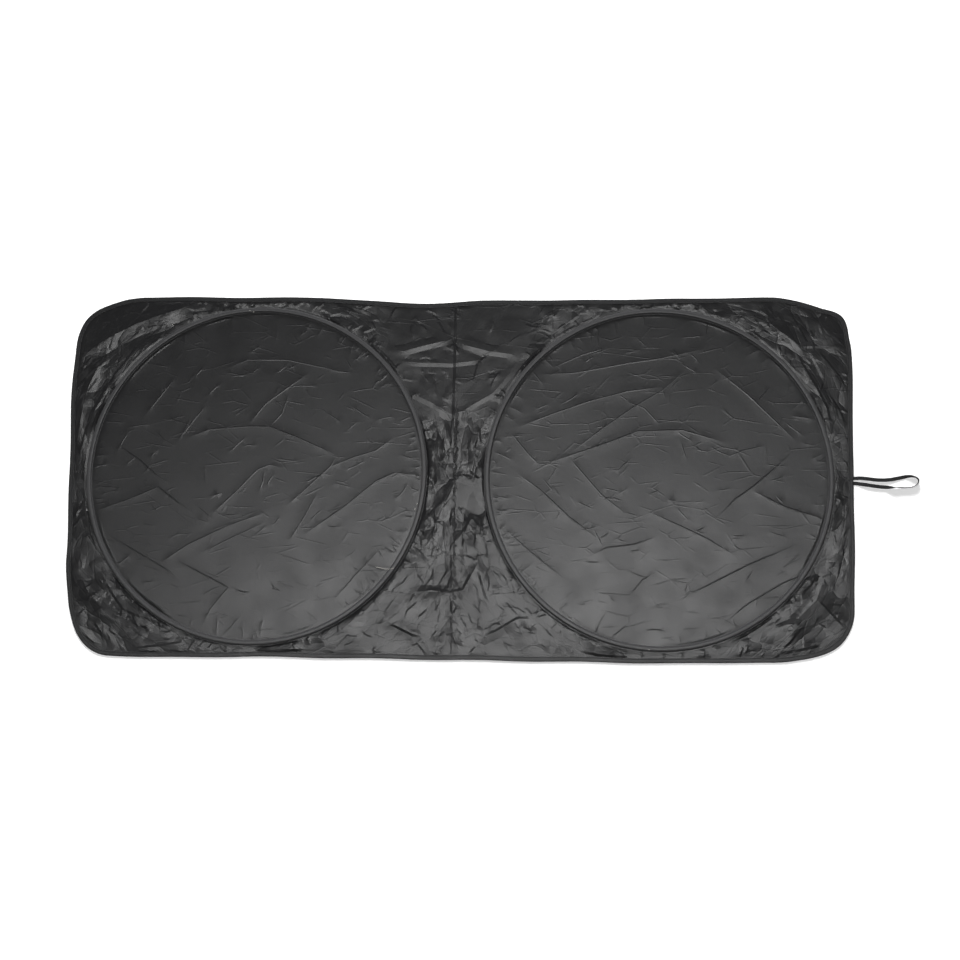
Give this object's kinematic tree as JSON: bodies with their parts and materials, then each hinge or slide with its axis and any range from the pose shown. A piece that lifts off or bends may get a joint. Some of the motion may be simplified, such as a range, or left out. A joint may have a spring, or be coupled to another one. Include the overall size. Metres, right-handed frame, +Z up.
{
  "type": "windscreen sunshade",
  "caption": "Folding sunshade for a car windscreen: a dark polyester sheet held open by two sprung hoops, with a taped hem and an elastic loop at one end, lying flat.",
  "frame": {"origin": "middle of the sheet, on the surface that it lies on", "axes": "+X along the sheet towards the end with the elastic loop, +Y across it, +Z up from the surface, on the side with the sewn hoops"},
  "size_m": [1.6291, 0.7068, 0.0081],
  "materials": {
    "sheet_cloth": "black satin coated polyester taffeta, creased",
    "binding_tape": "black woven polyester binding tape, sewn",
    "casing_tape": "black woven polyester casing tape, sewn and slightly puckered",
    "spring_steel": "flat spring steel wire, rolled",
    "sleeve_steel": "crimped tinned steel sleeve",
    "elastic_webbing": "thin flat black knitted elastic"
  },
  "bodies": {
    "root": {"shade_sheet": "sheet_cloth", "edge_binding": "binding_tape", "hoop_casing_left": "casing_tape", "hoop_casing_right": "casing_tape", "hoop_strip_left": "spring_steel", "hoop_strip_right": "spring_steel", "strip_sleeve_left": "sleeve_steel", "strip_sleeve_right": "sleeve_steel", "elastic_loop": "elastic_webbing"}
  },
  "joints": []
}
